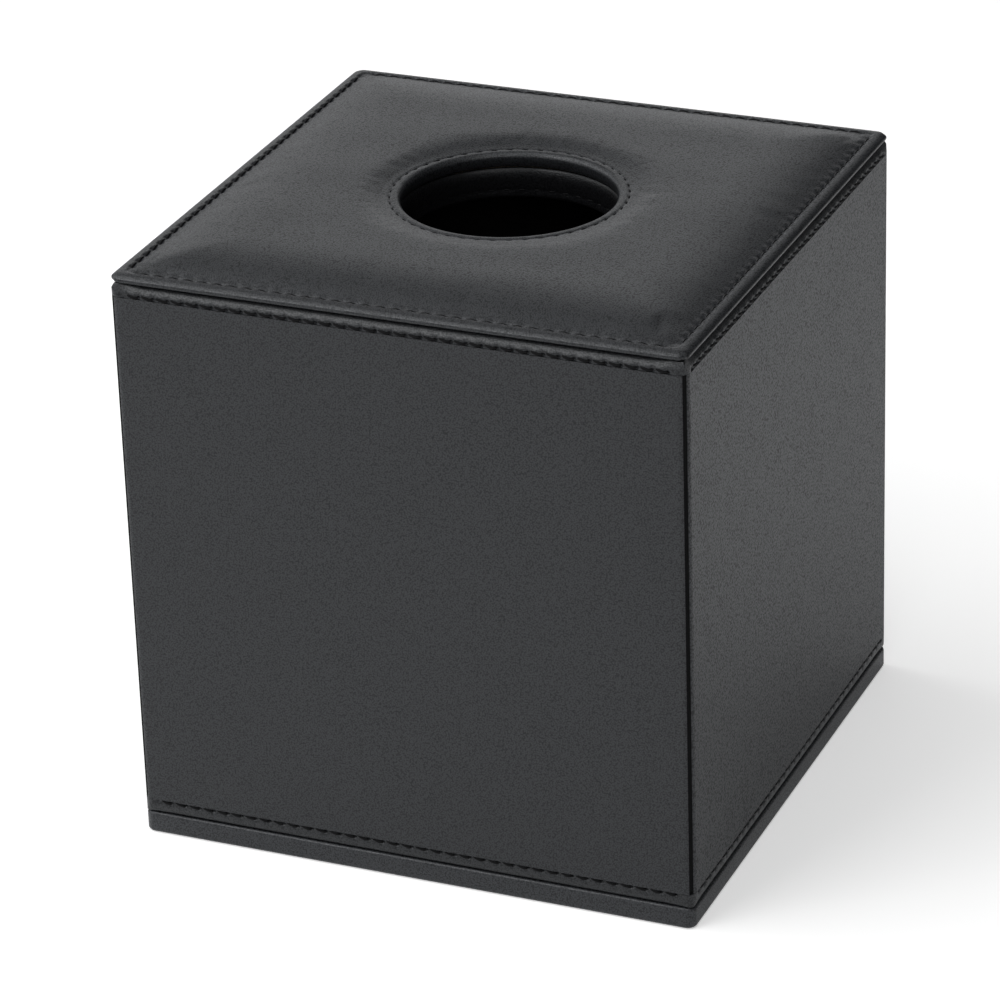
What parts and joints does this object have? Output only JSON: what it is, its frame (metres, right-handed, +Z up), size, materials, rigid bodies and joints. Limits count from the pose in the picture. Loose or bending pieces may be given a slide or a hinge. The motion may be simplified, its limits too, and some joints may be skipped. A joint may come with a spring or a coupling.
{
  "type": "leather tissue box cover",
  "caption": "Square leather cover for a cube tissue box: padded top with a round opening, stitched edges, and a base plate that swings open on a leather hinge.",
  "frame": {"origin": "centre of the underside of the base plate", "axes": "+Z up through the round opening, the front wall faces -Y and the hinge of the base plate is at the back, +Y"},
  "size_m": [0.13, 0.13, 0.1363],
  "materials": {
    "black_leather": "fine grain",
    "velvet": "short pile",
    "fibreboard": "raw",
    "foam": "open cell",
    "magnet": "plated",
    "thread": "waxed"
  },
  "bodies": {
    "cover": {"cushion_leather": "black_leather", "cushion_foam": "foam", "opening_collar": "black_leather", "top_board": "fibreboard", "top_lining": "velvet", "upper_binding": "black_leather", "lower_binding": "black_leather", "wall_lining": "velvet", "wall_magnets": "magnet", "front_board": "fibreboard", "right_board": "fibreboard", "back_board": "fibreboard", "left_board": "fibreboard", "front_leather": "black_leather", "right_leather": "black_leather", "back_leather": "black_leather", "left_leather": "black_leather", "hinge_strip": "black_leather", "welt_thread": "thread", "upper_thread": "thread", "lower_thread": "thread", "lip_thread": "thread"},
    "base_flap": {"base_leather": "black_leather", "base_board": "fibreboard", "base_lining": "velvet", "base_magnets": "magnet"}
  },
  "joints": [
    {"name": "base_hinge", "type": "hinge", "parent": "cover", "child": "base_flap", "pos_m": [0, 0.0652, 0.00515], "axis": [1, 0, 0], "range_deg": [0, 180], "deforming": ["hinge_strip"]}
  ]
}
